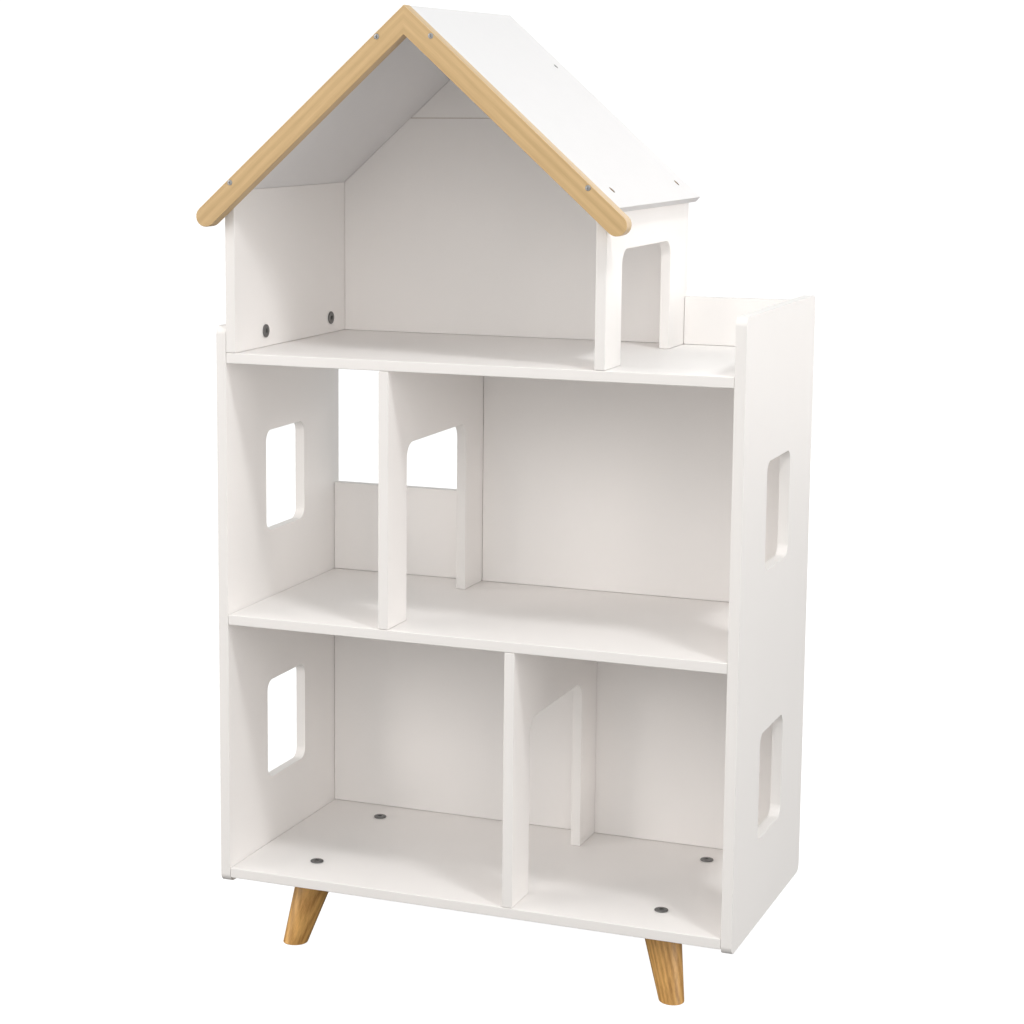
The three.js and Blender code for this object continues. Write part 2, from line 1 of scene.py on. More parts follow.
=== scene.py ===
# %% [markdown]
# # A painted wooden dollhouse
#
# The real thing is a small bookcase on four turned legs: white boards, an attic under a
# pitched roof and a terrace beside it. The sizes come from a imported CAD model, the frame.
# Nothing here moves or resizes a part. This script gives each part the surface it has on
# the real object: eased edges, paint, pine grain, and heads on the bolts and screws.

# %% Load the house
import math

import bmesh
import bpy
from mathutils import Matrix, Vector


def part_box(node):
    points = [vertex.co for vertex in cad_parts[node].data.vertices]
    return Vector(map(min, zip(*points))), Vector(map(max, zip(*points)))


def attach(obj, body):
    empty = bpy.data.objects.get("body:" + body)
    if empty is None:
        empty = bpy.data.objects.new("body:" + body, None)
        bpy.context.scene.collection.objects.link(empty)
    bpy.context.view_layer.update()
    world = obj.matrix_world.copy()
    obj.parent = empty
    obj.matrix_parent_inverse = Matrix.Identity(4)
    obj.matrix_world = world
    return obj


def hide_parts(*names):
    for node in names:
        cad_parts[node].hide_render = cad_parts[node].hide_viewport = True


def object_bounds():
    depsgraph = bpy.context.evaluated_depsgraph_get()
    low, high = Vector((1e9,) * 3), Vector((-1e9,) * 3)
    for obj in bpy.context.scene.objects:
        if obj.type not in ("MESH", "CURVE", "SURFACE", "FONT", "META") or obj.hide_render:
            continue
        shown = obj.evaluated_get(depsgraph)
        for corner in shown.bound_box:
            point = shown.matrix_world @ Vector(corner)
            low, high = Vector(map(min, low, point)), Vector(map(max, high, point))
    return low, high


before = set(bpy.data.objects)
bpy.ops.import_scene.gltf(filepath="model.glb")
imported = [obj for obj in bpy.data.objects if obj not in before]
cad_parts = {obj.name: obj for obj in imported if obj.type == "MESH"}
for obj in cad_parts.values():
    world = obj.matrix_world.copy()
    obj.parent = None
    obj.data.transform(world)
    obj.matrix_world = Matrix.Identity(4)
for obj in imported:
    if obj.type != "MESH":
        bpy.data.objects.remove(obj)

cad_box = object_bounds()
house_size = cad_box[1] - cad_box[0]
print("the house measures", [round(side, 4) for side in house_size], "metres")
print("it has", len(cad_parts), "parts")

# %% [markdown]
# ## The camera
#
# A piece of furniture is usually shown from a little above and to one side, so that the
# eye sees the front, one side panel and the terrace at once. A longer lens from further
# back keeps the upright edges upright. A camera can be placed by eye, but it is easier to
# repeat when it is worked out: a point to look at, two angles, and a distance.

# %% Set up the camera
LOOK_AT = Vector((-0.161, -0.065, 0.581))
TURN = math.radians(23.71)  # to the right of straight ahead
TILT = math.radians(8.73)  # above the horizon
DISTANCE = 2.718
LENS = 81.94  # millimetres
SENSOR = 36  # millimetres
SHIFT = (0.15, -0.05)  # in parts of the picture's width

toward_camera = Vector((
    math.sin(TURN) * math.cos(TILT),
    -math.cos(TURN) * math.cos(TILT),
    math.sin(TILT),
))
camera = bpy.data.objects.new("camera", bpy.data.cameras.new("camera"))
bpy.context.scene.collection.objects.link(camera)
camera.location = LOOK_AT + toward_camera * DISTANCE
camera.rotation_euler = (math.pi / 2 - TILT, 0, TURN)
camera.data.lens = LENS
camera.data.sensor_width = SENSOR
camera.data.shift_x, camera.data.shift_y = SHIFT
bpy.context.scene.camera = camera
print("camera at", [round(value, 3) for value in camera.location])

# %% [markdown]
# ## Making node trees short to write
#
# A material is a small graph of nodes. Adding nodes one by one takes many lines, so one
# helper adds a node, sets its options, and either links or fills each of its inputs.

# %% A helper for nodes
def add(tree, kind, inputs=None, **options):
    """Adds a node. An input is either a value or the output socket it is linked from."""
    node = tree.nodes.new(kind)
    for option, value in options.items():
        setattr(node, option, value)
    for socket, value in (inputs or {}).items():
        if isinstance(value, bpy.types.NodeSocket):
            tree.links.new(value, node.inputs[socket])
        else:
            node.inputs[socket].default_value = value
    return node


# %% [markdown]
# ## The studio
#
# White furniture on white needs very even light, or it turns grey in the corners. The room
# is a pale floor and an even, slightly cool sky. Five lamps shape the boards: a small key
# lamp high on the right, which draws the slanting shadows inside the rooms and sends a
# patch of light through each window, and four wide, slightly warm fills that stand for
# the walls of a studio. The one behind keeps the back of the house white as well.
# Rays that go straight to the camera see a brighter floor and sky than the house does.
# That keeps the ground clean and lets the light inside the rooms fall off downwards.

# %% The floor
WHITE = (1, 1, 1, 1)
FLOOR_RADIUS = 9.0
FLOOR_CORNERS = 96
FLOOR_GLOW = 0.97
FLOOR_GREY = (0.22, 0.22, 0.22, 1)

floor_material = bpy.data.materials.new("studio_floor")
floor_material.use_nodes = True
tree = floor_material.node_tree
tree.nodes.clear()
seen = add(tree, "ShaderNodeLightPath").outputs["Is Camera Ray"]
glow = add(tree, "ShaderNodeEmission", {"Color": WHITE, "Strength": FLOOR_GLOW})
matte = add(tree, "ShaderNodeBsdfDiffuse", {"Color": FLOOR_GREY})
bright = add(tree, "ShaderNodeAddShader", {0: glow.outputs[0], 1: matte.outputs[0]})
mixed = add(tree, "ShaderNodeMixShader", {0: seen, 1: matte.outputs[0], 2: bright.outputs[0]})
add(tree, "ShaderNodeOutputMaterial", {"Surface": mixed.outputs[0]})

disc = bmesh.new()
bmesh.ops.create_circle(disc, cap_ends=True, segments=FLOOR_CORNERS, radius=FLOOR_RADIUS)
floor = bpy.data.objects.new("studio_floor", bpy.data.meshes.new("studio_floor"))
disc.to_mesh(floor.data)
disc.free()
floor.data.materials.append(floor_material)
bpy.context.scene.collection.objects.link(floor)
print("the floor is", 2 * FLOOR_RADIUS, "metres across")

# %% The sky
SKY_LIGHT = 0.61
COOL_SKY = (0.95, 0.995, 1.0, 1)
BACKDROP_LIGHT = 1.1  # just over white, so that the backdrop is clean

world = bpy.data.worlds.new("studio")
bpy.context.scene.world = world
world.use_nodes = True
tree = world.node_tree
tree.nodes.clear()
seen = add(tree, "ShaderNodeLightPath").outputs["Is Camera Ray"]
light = add(tree, "ShaderNodeBackground", {"Color": COOL_SKY, "Strength": SKY_LIGHT})
backdrop = add(tree, "ShaderNodeBackground", {"Color": WHITE, "Strength": BACKDROP_LIGHT})
mixed = add(tree, "ShaderNodeMixShader", {0: seen, 1: light.outputs[0], 2: backdrop.outputs[0]})
add(tree, "ShaderNodeOutputWorld", {"Surface": mixed.outputs[0]})

view = bpy.context.scene.view_settings
view.view_transform = "Standard"
view.look = "None"
print("the sky gives", SKY_LIGHT, "of full white")


# %% The lamps
WARM_LIGHT = (1.0, 0.935, 0.895)


def lamp(name, toward, distance, size, share, colour=(1, 1, 1)):
    """A square lamp that shines on the middle of the house. Share is how much it adds to a
    surface that faces it, where 1 is as much as a full white sky."""
    middle = (cad_box[0] + cad_box[1]) / 2
    toward = Vector(toward).normalized()
    data = bpy.data.lights.new(name, "AREA")
    data.size = size
    data.color = colour
    data.energy = share * (math.pi * distance) ** 2
    made = bpy.data.objects.new(name, data)
    made.location = middle + toward * distance
    made.rotation_euler = toward.to_track_quat("Z", "Y").to_euler()
    bpy.context.scene.collection.objects.link(made)
    print(name, "shines with", round(data.energy, 1), "watts")


lamp("key_lamp", (0.56, -0.44, 1.0), 3.2, 0.4, 0.28)
lamp("front_fill", (0.2, -1.0, 0.35), 4.0, 2.5, 0.18, WARM_LIGHT)
lamp("right_fill", (1.0, -0.2, 0.05), 4.0, 2.5, 0.44, WARM_LIGHT)
lamp("left_fill", (-1.0, -0.6, 0.3), 4.0, 3.0, 0.60, WARM_LIGHT)
lamp("back_fill", (0.1, 1.0, 0.1), 4.0, 3.0, 0.32, WARM_LIGHT)

# %% [markdown]
# ## White paint
#
# The boards are fibreboard under a satin white paint. Sprayed paint is never quite flat:
# it has a fine peel like the skin of an orange, and over a hand's width the gloss drifts a
# little. The sawn edges of fibreboard drink more paint, so they stay rougher and show
# fibres, and on the rounded arrises the coat is thin and rubs smooth. The sawn edges are also
# coloured a little darker, partly as painted shade, as on the front edges of the boards.
# A painted picture could hold all that, but a procedural material has no seams and no
# resolution, so noise textures in the object's own coordinates are used. The meshes carry
# three face values for it: `sawn` on the edges of a board, `arris` on its rounded edges,
# and a third inside holes and seams, which takes the brown of unpainted board. In the holes
# the board never got its paint, and the brown there is also painted shade in the hollow;
# in the seam of the attic's back the brown is painted shade in the crack.
# The thin roof sheets have another, cooler and darker white than the boards; its darkness is
# painted shade on the roof.

# %% White paint
WARM_WHITE = (0.943, 0.919, 0.902, 1)
# The thin coat on the arrises; on the sawn edges this colour is partly painted shade.
WARM_WHITE_THIN_AND_SHADED = (0.865, 0.841, 0.820, 1)
# The roof's whites are darker than the boards': painted shade on the roof.
SHADED_COOL_WHITE = (0.782, 0.771, 0.775, 1)
SHADED_COOL_WHITE_THIN = (0.745, 0.734, 0.736, 1)
# The brown of unpainted board: inside holes it is also painted shade, and in the attic's seam it
# is painted shade.
RAW_BOARD_AND_SHADE = (0.30, 0.21, 0.14, 1)

# How fine each kind of unevenness is, in spots to a metre
DRIFT, WAVES, PATCHES, PEEL, FIBRES = 7, 32, 60, 650, 1400


def ranged(tree, value, low, high):
    """Stretches a value from 0..1 to low..high."""
    spread = {"Value": value, "To Min": low, "To Max": high}
    return add(tree, "ShaderNodeMapRange", spread).outputs["Result"]


def sum_of(tree, first, second):
    return add(tree, "ShaderNodeMath", {0: first, 1: second}, operation="ADD").outputs[0]


def times(tree, first, second):
    return add(tree, "ShaderNodeMath", {0: first, 1: second}, operation="MULTIPLY").outputs[0]


def noise(tree, place, scale, detail=2.0, roughness=0.5):
    settings = {"Vector": place, "Scale": scale, "Detail": detail, "Roughness": roughness}
    return add(tree, "ShaderNodeTexNoise", settings).outputs["Fac"]


def face_value(tree, name):
    return add(tree, "ShaderNodeAttribute", attribute_name=name).outputs["Fac"]


def new_material(name):
    material = bpy.data.materials.new(name)
    material.use_nodes = True
    tree = material.node_tree
    return material, tree, tree.nodes["Principled BSDF"]


def object_place(tree):
    return add(tree, "ShaderNodeTexCoord").outputs["Object"]


def white_paint(name, full, thin):
    """Satin paint between two colours: of the full coat, and of a thin one on the edges. On the
    sawn edges the thin colour is partly painted shade.
    """
    material, tree, surface = new_material(name)
    place = object_place(tree)
    arris, sawn = face_value(tree, "arris"), face_value(tree, "sawn")
    raw_board_and_shade = face_value(tree, "raw_board_and_shade")
    drift = noise(tree, place, DRIFT, 3)
    patchy = noise(tree, place, PATCHES, 3)
    thinness_and_shade = sum_of(tree, ranged(tree, drift, 0, 0.3), times(tree, arris, patchy))
    # The sawn edges are coloured toward the thin coat as well: partly painted shade on the edges
    # of the boards.
    thinness_and_shade = sum_of(tree, thinness_and_shade, times(tree, sawn, 0.8))
    colour = add(tree, "ShaderNodeMix", {"Factor": thinness_and_shade}, data_type="RGBA")
    colour.inputs["A"].default_value = full
    colour.inputs["B"].default_value = thin
    # Holes and the attic's seam take the unpainted brown: painted shade in the seam, and partly
    # painted shade in the holes.
    shown = add(tree, "ShaderNodeMix", {"Factor": raw_board_and_shade}, data_type="RGBA")
    shown.inputs["B"].default_value = RAW_BOARD_AND_SHADE
    tree.links.new(colour.outputs["Result"], shown.inputs["A"])
    tree.links.new(shown.outputs["Result"], surface.inputs["Base Color"])

    gloss = sum_of(tree, ranged(tree, patchy, 0.38, 0.52), times(tree, sawn, 0.12))
    gloss = sum_of(tree, gloss, times(tree, raw_board_and_shade, 0.3))
    tree.links.new(gloss, surface.inputs["Roughness"])
    peel = noise(tree, place, PEEL, 2)
    fibres = times(tree, sawn, noise(tree, place, FIBRES, 4, 0.7))
    waves = times(tree, noise(tree, place, WAVES, 2), 2.0)
    height = sum_of(tree, sum_of(tree, times(tree, peel, 0.10), times(tree, fibres, 0.12)), waves)
    bump = add(tree, "ShaderNodeBump", {"Height": height, "Strength": 0.25, "Distance": 0.0004})
    tree.links.new(bump.outputs["Normal"], surface.inputs["Normal"])
    return material


BOARD_PAINT = white_paint("white_paint", WARM_WHITE, WARM_WHITE_THIN_AND_SHADED)
# The roof's paint is a darker copy of the white paint: painted shade on the roof.
SHADED_ROOF_PAINT = white_paint("shaded_roof_paint", SHADED_COOL_WHITE, SHADED_COOL_WHITE_THIN)
for material in (BOARD_PAINT, SHADED_ROOF_PAINT):
    print(material.name, "has", len(material.node_tree.nodes), "nodes")

# %% [markdown]
# ## Pine
#
# A tree grows a pale, wide ring in spring and a narrow, darker one in summer. A board
# sawn along the trunk cuts these rings lengthwise, so its face shows soft bands that run
# from end to end, and its end shows arcs. A ring texture round an axis beside the board
# gives both at once, because it fills space: whichever face is cut, the pattern agrees.
# Noise that is stretched along the grain bends the rings and adds streaks and fibres.
# Each pine piece carries its own coordinates as a mesh attribute named `grain`, with x
# along the trunk. The piece itself can then stay where the CAD model has it.

# %% Pine
ALONG = 0.045  # how much slower the wood changes along the grain than across it
BROAD_BANDS, STREAKS, WOOD_FIBRES = 95, 420, 1500  # in spots to a metre, across the grain


def grain_place(tree):
    return add(tree, "ShaderNodeAttribute", attribute_name="grain").outputs["Vector"]


def wood(name, spring, summer, ring, pith, contrast, streak, place_in=grain_place):
    """Wood with its grain along x. `ring` is a ring's width and `pith` the place of the
    tree's middle beside the board, both in metres."""
    material, tree, surface = new_material(name)
    stretched = add(tree, "ShaderNodeMapping", {"Vector": place_in(tree), "Scale": (ALONG, 1, 1)})
    stretched.inputs["Location"].default_value = (0, *pith)
    along = stretched.outputs["Vector"]
    rings = add(
        tree, "ShaderNodeTexWave",
        {"Vector": along, "Scale": 2 * math.pi / (20 * ring), "Distortion": 4.0,
         "Detail": 2.0, "Detail Scale": 0.35, "Detail Roughness": 0.5},
        wave_type="RINGS", rings_direction="X", wave_profile="SIN",
    ).outputs["Fac"]
    fine = noise(tree, along, WOOD_FIBRES, 3, 0.65)
    streaks = noise(tree, along, STREAKS, 3, 0.6)
    broad = noise(tree, along, BROAD_BANDS, 2)
    tone = times(tree, rings, contrast)
    tone = sum_of(tree, tone, ranged(tree, fine, -streak, streak))
    tone = sum_of(tree, tone, ranged(tree, streaks, -1.5 * streak, 1.5 * streak))
    tone = sum_of(tree, tone, ranged(tree, broad, -0.2, 0.6))
    colour = add(tree, "ShaderNodeMix", data_type="RGBA", clamp_factor=True)
    colour.inputs["A"].default_value = spring
    colour.inputs["B"].default_value = summer
    tree.links.new(tone, colour.inputs["Factor"])
    # The rounded edges of the pine are painted lighter: a painted highlight, as where an edge
    # catches the light.
    edge_highlight = add(tree, "ShaderNodeMix", data_type="RGBA")
    edge_highlight.inputs["B"].default_value = [min(1, 1.12 * channel) for channel in spring[:3]] + [1]
    tree.links.new(colour.outputs["Result"], edge_highlight.inputs["A"])
    tree.links.new(times(tree, face_value(tree, "arris"), 0.45), edge_highlight.inputs["Factor"])
    tree.links.new(edge_highlight.outputs["Result"], surface.inputs["Base Color"])

    tree.links.new(ranged(tree, fine, 0.34, 0.52), surface.inputs["Roughness"])
    height = sum_of(tree, times(tree, fine, 0.6), times(tree, rings, 0.4))
    bump = add(tree, "ShaderNodeBump", {"Height": height, "Strength": 0.3, "Distance": 0.0003})
    tree.links.new(bump.outputs["Normal"], surface.inputs["Normal"])
    surface.inputs["Coat Weight"].default_value = 0.25
    surface.inputs["Coat Roughness"].default_value = 0.25
    return material


PINE_TRIM = wood("pine_trim", (0.665, 0.460, 0.228, 1), (0.52, 0.345, 0.158, 1),
                 ring=0.0095, pith=(0.030, 0.120), contrast=0.5, streak=0.3)
PINE_LEG = wood("pine_leg", (0.82, 0.465, 0.145, 1), (0.36, 0.160, 0.034, 1),
                ring=0.0052, pith=(0.026, 0.015), contrast=0.4, streak=0.4)
BARE_WOOD = wood("bare_wood", (0.62, 0.44, 0.27, 1), (0.48, 0.31, 0.17, 1),
                 ring=0.0020, pith=(0.025, 0.030), contrast=0.4, streak=0.3,
                 place_in=object_place)
print("three woods:", PINE_TRIM.name, PINE_LEG.name, BARE_WOOD.name)

# %% [markdown]
# ## Steel
#
# Furniture bolts are blackened or zinc plated, and dull. The finish is cloudy, and darker
# than polished steel. A metal takes its look from what it reflects, so the base colour is
# a plain grey and the variation goes into the roughness. The screws in the trim are
# freshly plated, so they are lighter than the bolts.

# %% Steel
CLOUDS = 420  # to a metre


def dull_metal(name, dark, light):
    """Plated steel, with a base colour between two greys."""
    material, tree, surface = new_material(name)
    cloud = noise(tree, object_place(tree), CLOUDS, 3, 0.6)
    surface.inputs["Metallic"].default_value = 0.85
    colour = add(tree, "ShaderNodeMix", {"Factor": cloud}, data_type="RGBA")
    colour.inputs["A"].default_value = (dark, dark, dark, 1)
    colour.inputs["B"].default_value = (light, light, light, 1)
    tree.links.new(colour.outputs["Result"], surface.inputs["Base Color"])
    tree.links.new(ranged(tree, cloud, 0.30, 0.55), surface.inputs["Roughness"])
    bump = add(tree, "ShaderNodeBump", {"Height": cloud, "Strength": 0.2, "Distance": 0.0001})
    tree.links.new(bump.outputs["Normal"], surface.inputs["Normal"])
    return material


DARK_STEEL = dull_metal("dark_steel", 0.15, 0.24)
ZINC_PLATE = dull_metal("zinc_plate", 0.36, 0.48)
print("two metals:", DARK_STEEL.name, ZINC_PLATE.name)

# %% [markdown]
# ## Boards with eased edges
#
# A saw leaves an edge that would cut a child's hand, so every board is eased: its arrises
# are rounded by about a millimetre before it is painted. That thin rounding catches the
# light, and without it a model looks like folded paper.
# The CAD board has the right shape with knife edges. It could be drawn again here, but
# then two drawings would have to agree, so its mesh is copied: weld the split corners,
# join the triangles of each flat face, then bevel the sharp edges. Edges round a screw,
# bolt or dowel hole stay crisp, as a drill leaves them, and so does the mitre of the roof
# The two boards of the attic's back meet in a seam whose edges take the brown of unpainted board,
# as painted shade in the crack.
# The trim has holes close to its edge, so its flat faces are first cut across each hole.
# Otherwise one outline winds round all the holes, and the bevel makes it cross itself.

# %% Find the edges to ease
WELD = 2e-5  # points closer together than this are one point
NO_LENGTH = 1e-6  # shorter edges, and faces as thin as that, are left out
FLAT = math.radians(0.5)  # faces that bend less than this are one face
SHARP = math.radians(35)
DRILLED = 0.0012  # hole rims lie this close to the fastener in the hole
POCKET = Vector((0, 0, 0.0065))  # the eave screws stand upright, sunk into the slope
AT_JOINT = 0.0005  # what lies this close to the gap between two boards is in the joint

fasteners = [
    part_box(node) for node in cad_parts
    if node.startswith(("dowel", "leg_bolt", "leg_insert", "attic_bolt", "attic_insert",
                        "trim_screw"))
]
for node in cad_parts:
    if node.startswith("roof_screw"):
        low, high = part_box(node)
        fasteners.append((low, high + POCKET))


def around(box, margin):
    """A test for points in a box that is made larger by a margin."""
    low, high = box

    def test(point):
        return all(low[i] - margin < point[i] < high[i] + margin for i in range(3))
    return test


def joint_between(before, after, axis):
    """The thin box in which two boards meet, square to an axis."""
    low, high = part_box(before)
    low[axis] = high[axis]
    high[axis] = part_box(after)[0][axis]
    return low, high


mitre = joint_between("roof_trim_left", "roof_trim_right", 0)
attic_seam = joint_between("attic_back_lower", "attic_back_gable", 2)
HOLES = [around(box, DRILLED) for box in fasteners]
CRISP = HOLES + [around(mitre, AT_JOINT)]
# Faces in these places take the unpainted brown: painted shade in the attic's seam, and partly in
# the holes.
RAW_AND_SHADED_PLACES = HOLES + [around(attic_seam, AT_JOINT)]


def lies_in(point, tests):
    """Whether at least one of the tests holds for a point."""
    return any(test(point) for test in tests)


def sharp_edges(mesh):
    """The edges to round: sharp ones that aren't in a hole or a mitre."""
    return [
        edge for edge in mesh.edges
        if len(edge.link_faces) == 2 and edge.calc_face_angle() > SHARP
        and not lies_in((edge.verts[0].co + edge.verts[1].co) / 2, CRISP)
    ]


print(len(HOLES), "holes stay crisp, and so does the mitre")


# %% Steps of making a board
def cut_across(mesh, point, direction):
    """Cuts the faces of a mesh along a plane, and marks the cut as a seam."""
    everything = mesh.verts[:] + mesh.edges[:] + mesh.faces[:]
    cut = bmesh.ops.bisect_plane(mesh, geom=everything, dist=WELD,
                                 plane_co=point, plane_no=direction)
    for part in cut["geom_cut"]:
        if isinstance(part, bmesh.types.BMEdge):
            part.seam = True


def flat_faced(node, cuts, direction):
    """A copy of a CAD node's mesh in which each flat face is one face, up to the cuts."""
    mesh = bmesh.new()
    mesh.from_mesh(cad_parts[node].data)
    bmesh.ops.remove_doubles(mesh, verts=mesh.verts, dist=WELD)
    for point in cuts:
        cut_across(mesh, point, direction)
    bmesh.ops.remove_doubles(mesh, verts=mesh.verts, dist=WELD)
    bmesh.ops.dissolve_limit(mesh, angle_limit=FLAT, verts=mesh.verts, edges=mesh.edges,
                             delimit={"SEAM"})
    return mesh


def drop_slivers(mesh):
    """Leaves out edges and faces without a size, and edges that then hang loose."""
    bmesh.ops.dissolve_degenerate(mesh, edges=mesh.edges, dist=NO_LENGTH)
    loose = [edge for edge in mesh.edges if not edge.link_faces]
    bmesh.ops.delete(mesh, geom=loose, context="EDGES")


def thin_axis(points):
    """The direction in which a board is thinnest, as 0, 1 or 2."""
    spans = []
    for axis in range(3):
        places = [point[axis] for point in points]
        spans.append(max(places) - min(places))
    return spans.index(min(spans))


# %% Make a piece from a CAD node
LEANING = 0.5  # the cosine of 60 degrees


def eased(node, name, radius, material, grain=Matrix(), cuts=()):
    """A new piece that stands for a CAD node, with edges rounded to `radius`. `grain` is the
    place and turn of its own coordinates, which are kept as an attribute. `cuts` are points
    at which its faces are cut across the grain."""
    mesh = flat_faced(node, cuts, grain.to_3x3().col[0])
    arris, sawn, raw_board_and_shade = [
        mesh.faces.layers.float.new(layer) for layer in ("arris", "sawn", "raw_board_and_shade")
    ]
    own_place = mesh.verts.layers.float_vector.new("grain")
    rounded = bmesh.ops.bevel(
        mesh, geom=sharp_edges(mesh), offset=radius, segments=3, profile=0.5,
        affect="EDGES", clamp_overlap=True,
    )
    for face in rounded["faces"]:
        face[arris] = 1
    drop_slivers(mesh)
    inward = grain.inverted()
    for vert in mesh.verts:
        vert[own_place] = inward @ vert.co
    across = thin_axis([vert[own_place] for vert in mesh.verts])
    thickness = grain.to_3x3().col[across]
    mesh.normal_update()
    for face in mesh.faces:
        face.smooth = True
        if abs(face.normal.dot(thickness)) < LEANING:
            face[sawn] = 1
        # Faces in holes and in the attic's seam are marked for the unpainted brown, which is
        # painted shade in the seam and partly in the holes.
        if all(lies_in(vert.co, RAW_AND_SHADED_PLACES) for vert in face.verts):
            face[raw_board_and_shade] = 1
    data = bpy.data.meshes.new(name)
    mesh.to_mesh(data)
    mesh.free()
    data.set_sharp_from_angle(angle=SHARP)
    return finished(data, name, material, node)


def finished(data, name, material, node):
    """Turns mesh data into a piece of the house that stands for a CAD node."""
    piece = bpy.data.objects.new(name, data)
    bpy.context.scene.collection.objects.link(piece)
    data.materials.append(material)
    weighted = piece.modifiers.new("flat_faces_stay_flat", "WEIGHTED_NORMAL")
    weighted.keep_sharp = True
    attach(piece, "root")
    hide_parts(node)
    return piece


# %% [markdown]
# ## The white boards
#
# Everything flat and white is made the same way: side panels, shelves, inner walls, back
# panels, rail and roof. The roof sheets and the two boards of the attic's back are thinner,
# so their arrises are finer. The roof lies on a slope, and its own coordinates are turned
# with it, so that `sawn` means the same there as on an upright board.

# %% The white boards
BOARD_ARRIS = 0.0009
SHEET_ARRIS = 0.0006
BACK_ARRIS = 0.0003
ROOF_PITCH = math.radians(41.7)

white_boards = [
    "left_side_panel", "right_side_panel",
    "bottom_board", "middle_shelf", "top_shelf",
    "bottom_divider", "middle_divider",
    "bottom_back_panel", "middle_back_panel", "middle_low_panel",
    "attic_left_wall", "attic_right_wall", "terrace_rail",
]
arris_of = {node: BOARD_ARRIS for node in white_boards}
arris_of.update({"attic_back_lower": BACK_ARRIS, "attic_back_gable": BACK_ARRIS})
for node, radius in arris_of.items():
    board = eased(node, f"painted_{node}", radius, BOARD_PAINT)
    print(board.name, "has", len(board.data.polygons), "faces")

# %% Close the seam in the attic's back
HAIR = 0.05  # the share of the gap that stays open, so that two pieces never share a face


def close_joint(piece, joint, axis):
    """Moves the side of a piece that lies at a joint almost up to the middle of the joint,
    so that no light comes through."""
    middle = (joint[0][axis] + joint[1][axis]) / 2
    at_joint = around(joint, AT_JOINT)
    close = [vert for vert in piece.data.vertices if at_joint(vert.co)]
    nearest = min(close, key=lambda vert: abs(vert.co[axis] - middle))
    move = (middle - nearest.co[axis]) * (1 - HAIR)
    for vert in close:
        vert.co[axis] += move
    print(piece.name, "moves", len(close), "points by", round(1000 * move, 3), "mm")


for part in ("lower", "gable"):
    close_joint(bpy.data.objects[f"painted_attic_back_{part}"], attic_seam, 2)

# %% The roof sheets
def slope_place(side):
    """The coordinates of one slope of the roof: x runs along the slope, z is square to it."""
    low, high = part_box(f"roof_sheet_{side}")
    ridge_x = high.x if side == "left" else low.x
    turn = ROOF_PITCH if side == "right" else -ROOF_PITCH
    ridge = Matrix.Translation((ridge_x, low.y, high.z))
    return ridge @ Matrix.Rotation(turn, 4, "Y")


for side in ("left", "right"):
    node = f"roof_sheet_{side}"
    sheet = eased(node, f"painted_{node}", SHEET_ARRIS, SHADED_ROOF_PAINT,
                  slope_place(side))
    print(sheet.name, "has", len(sheet.data.polygons), "faces")

# %% [markdown]
# ## The roof trim
#
# Two varnished pine boards cover the front edge of the roof. They meet in a mitre at the
# top, and their lower ends are rounded like a half moon. The grain has to run down each
# slope, so each board has the coordinates of its slope. Both are cut from one plank, so
# the same soft bands come down from the mitre on either side.

# %% The roof trim
TRIM_ARRIS = 0.0011


def middle_of(node):
    low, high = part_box(node)
    return (low + high) / 2


for side in ("left", "right"):
    node = f"roof_trim_{side}"
    screws = [middle_of(f"trim_screw_{side}_{height}") for height in ("upper", "lower")]
    trim = eased(node, f"pine_{node}", TRIM_ARRIS, PINE_TRIM, slope_place(side),
                 screws)
    close_joint(trim, mitre, 0)
    print(trim.name, "has", len(trim.data.polygons), "faces")

# %% [markdown]
# ## The legs
#
# Each leg is turned on a lathe from one stick of pine, so the grain runs from top to foot.
# The leg leans, so its coordinates lean too: x goes from the middle of the top to the
# middle of the foot. Both middles are found in the CAD mesh, by averaging the points at
# its highest and at its lowest level.

# %% The legs
LEG_ARRIS = 0.0012


def middle_at(node, level):
    """The middle of a part's points at one height."""
    points = [vert.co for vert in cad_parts[node].data.vertices]
    there = [point for point in points if abs(point.z - level) < WELD]
    return sum(there, Vector()) / len(there)


def leg_place(node):
    """A leg's own coordinates: x runs from the top to the foot."""
    low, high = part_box(node)
    top, foot = middle_at(node, high.z), middle_at(node, low.z)
    lean = (foot - top).to_track_quat("X", "Z").to_matrix().to_4x4()
    return Matrix.Translation(top) @ lean


for corner in ("front_left", "front_right", "rear_left", "rear_right"):
    node = f"leg_{corner}"
    leg = eased(node, f"pine_{node}", LEG_ARRIS, PINE_LEG, leg_place(node))
    print(leg.name, "has", len(leg.data.polygons), "faces")

# %% [markdown]
# ## Bolts and screws
#
# Bolts and screws are turned parts, so each is a stack of rings round an axis. A ring is
# usually round, but its radius may also depend on the angle: that makes the six-sided
# socket of a bolt and the cross of a screw with the same few lines, and no boolean.
# The rings run from the tip up the outside, over the head and down into the recess.

# %% A stack of rings
STEPS = 72  # divides by six and by four, so that sockets and crosses get true corners


def ring_stack(rings):
    """A closed mesh from (height, radius) pairs. A radius may be a function of the angle."""
    mesh = bmesh.new()
    loops = []
    for height, radius in rings:
        loop = []
        for step in range(STEPS):
            angle = 2 * math.pi * step / STEPS
            reach = radius(angle) if callable(radius) else radius
            loop.append(mesh.verts.new((reach * math.cos(angle), reach * math.sin(angle), height)))
        loops.append(loop)
    for lower, upper in zip(loops, loops[1:]):
        for step in range(STEPS):
            after = (step + 1) % STEPS
            mesh.faces.new((lower[step], lower[after], upper[after], upper[step]))
    mesh.faces.new(list(reversed(loops[0])))
    mesh.faces.new(loops[-1])
    for face in mesh.faces:
        face.smooth = True
    return mesh


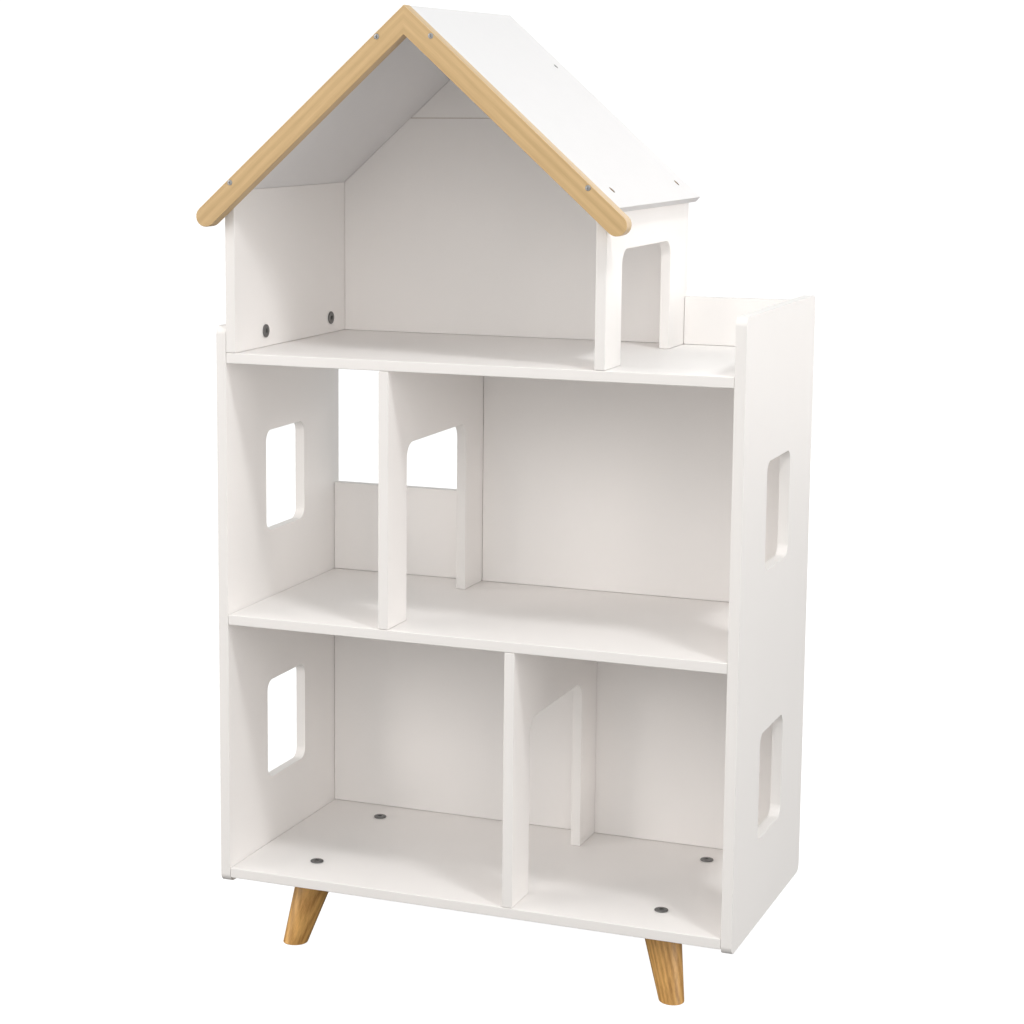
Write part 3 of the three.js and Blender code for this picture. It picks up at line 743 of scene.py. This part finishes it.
def six_sided(across):
    """The radius of a hexagon with that distance from the middle to a side."""
    def radius(angle):
        from_side = angle % (math.pi / 3) - math.pi / 6
        return across / math.cos(from_side)
    return radius


def cross(reach):
    """The radius of a cross whose arms end at `reach`, with arms 30 degrees wide there."""
    half_width = reach * math.tan(math.pi / 12)

    def radius(angle):
        from_arm = abs((angle + math.pi / 4) % (math.pi / 2) - math.pi / 4)
        along = reach / math.cos(from_arm)
        beside = half_width / max(math.sin(from_arm), 1e-6)
        return min(along, beside)
    return radius


print("a ring has", STEPS, "points")


# %% Place a fastener
def fastener(node, head_side, rings_for, metal):
    """A bolt or screw in place of a CAD node. head_side points out of its head."""
    out = Vector(head_side).normalized()
    points = [vert.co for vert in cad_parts[node].data.vertices]
    heights = [point.dot(out) for point in points]
    top = max(heights)
    head = [point for point, height in zip(points, heights) if top - height < WELD]
    middle = sum(head, Vector()) / len(head)
    mesh = ring_stack(rings_for(top - min(heights)))
    place = Matrix.Translation(middle) @ out.to_track_quat("Z", "Y").to_matrix().to_4x4()
    bmesh.ops.transform(mesh, matrix=place, verts=mesh.verts)
    data = bpy.data.meshes.new(f"steel_{node}")
    mesh.to_mesh(data)
    mesh.free()
    data.set_sharp_from_angle(angle=SHARP)
    return finished(data, f"steel_{node}", metal, node)


# %% The bolts
MM = 0.001
BOLT_HEAD, BOLT_SHANK = 7.8 * MM, 3.0 * MM
BOLT_HEAD_HEIGHT = 1.8 * MM
SOCKET, SOCKET_DEPTH = 2.3 * MM, 1.4 * MM


def bolt_rings(length):
    """The outline of a bolt with a low, rounded head and a six-sided socket."""
    return [
        (-length, BOLT_SHANK - 0.6 * MM),
        (-length + 0.6 * MM, BOLT_SHANK),
        (-BOLT_HEAD_HEIGHT, BOLT_SHANK),
        (-BOLT_HEAD_HEIGHT, BOLT_HEAD - 0.3 * MM),
        (-1.5 * MM, BOLT_HEAD),
        (-0.9 * MM, BOLT_HEAD),
        (-0.45 * MM, BOLT_HEAD - 0.2 * MM),
        (-0.15 * MM, BOLT_HEAD - 0.7 * MM),
        (0.0, BOLT_HEAD - 1.6 * MM),
        (0.0, SOCKET + 0.7 * MM),
        (-0.3 * MM, six_sided(SOCKET)),
        (-SOCKET_DEPTH, six_sided(SOCKET)),
    ]


for corner in ("front_left", "front_right", "rear_left", "rear_right"):
    bolt = fastener(f"leg_bolt_{corner}", (0, 0, 1), bolt_rings, DARK_STEEL)
for place_name in ("front", "rear"):
    bolt = fastener(f"attic_bolt_{place_name}", (1, 0, 0), bolt_rings, DARK_STEEL)
print("six bolts, the last is", bolt.name)

# %% The screws
SCREW_HEAD, SCREW_SHANK = 3.0 * MM, 1.5 * MM
SCREW_HEAD_HEIGHT = 1.8 * MM
CROSS_REACH, CROSS_DEPTH = 1.75 * MM, 1.0 * MM


def screw_rings(length):
    """The outline of a screw with a tapered head and a cross."""
    return [
        (-length, 0.05 * MM),
        (-length + 2 * SCREW_SHANK, SCREW_SHANK),
        (-SCREW_HEAD_HEIGHT, SCREW_SHANK),
        (-0.3 * MM, SCREW_HEAD - 0.1 * MM),
        (-0.15 * MM, SCREW_HEAD),
        (-0.05 * MM, SCREW_HEAD - 0.05 * MM),
        (0.0, SCREW_HEAD - 0.2 * MM),
        (0.0, cross(CROSS_REACH)),
        (-CROSS_DEPTH, cross(0.55 * CROSS_REACH)),
    ]


out_of_right_slope = (math.sin(ROOF_PITCH), 0, math.cos(ROOF_PITCH))
for side in ("left", "right"):
    for height in ("upper", "lower"):
        screw = fastener(f"trim_screw_{side}_{height}", (0, -1, 0), screw_rings, ZINC_PLATE)
    for place_name in ("front", "rear"):
        screw = fastener(f"roof_screw_{side}_{place_name}", (0, 0, 1), screw_rings, DARK_STEEL)
screw = fastener("roof_screw_right_upper", out_of_right_slope, screw_rings, DARK_STEEL)
print("nine screws, the last is", screw.name)

# %% [markdown]
# ## What is hidden
#
# Dowels, threaded inserts and the small cleat under the roof are inside the joints. Nobody
# looks at them, but they are part of the house, so they still get their true materials.
# The cleat can be seen by someone who bends down, so it is eased like the other boards.

# %% What is hidden
cleat = eased("roof_cleat", "wood_roof_cleat", BOARD_ARRIS, BARE_WOOD,
              slope_place("right"))
hidden = {"dowel": BARE_WOOD, "leg_insert": DARK_STEEL, "attic_insert": DARK_STEEL}
for node, cad_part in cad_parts.items():
    for start, material in hidden.items():
        if node.startswith(start):
            cad_part.data.materials.clear()
            cad_part.data.materials.append(material)
print(cleat.name, "and the hidden parts have their materials")
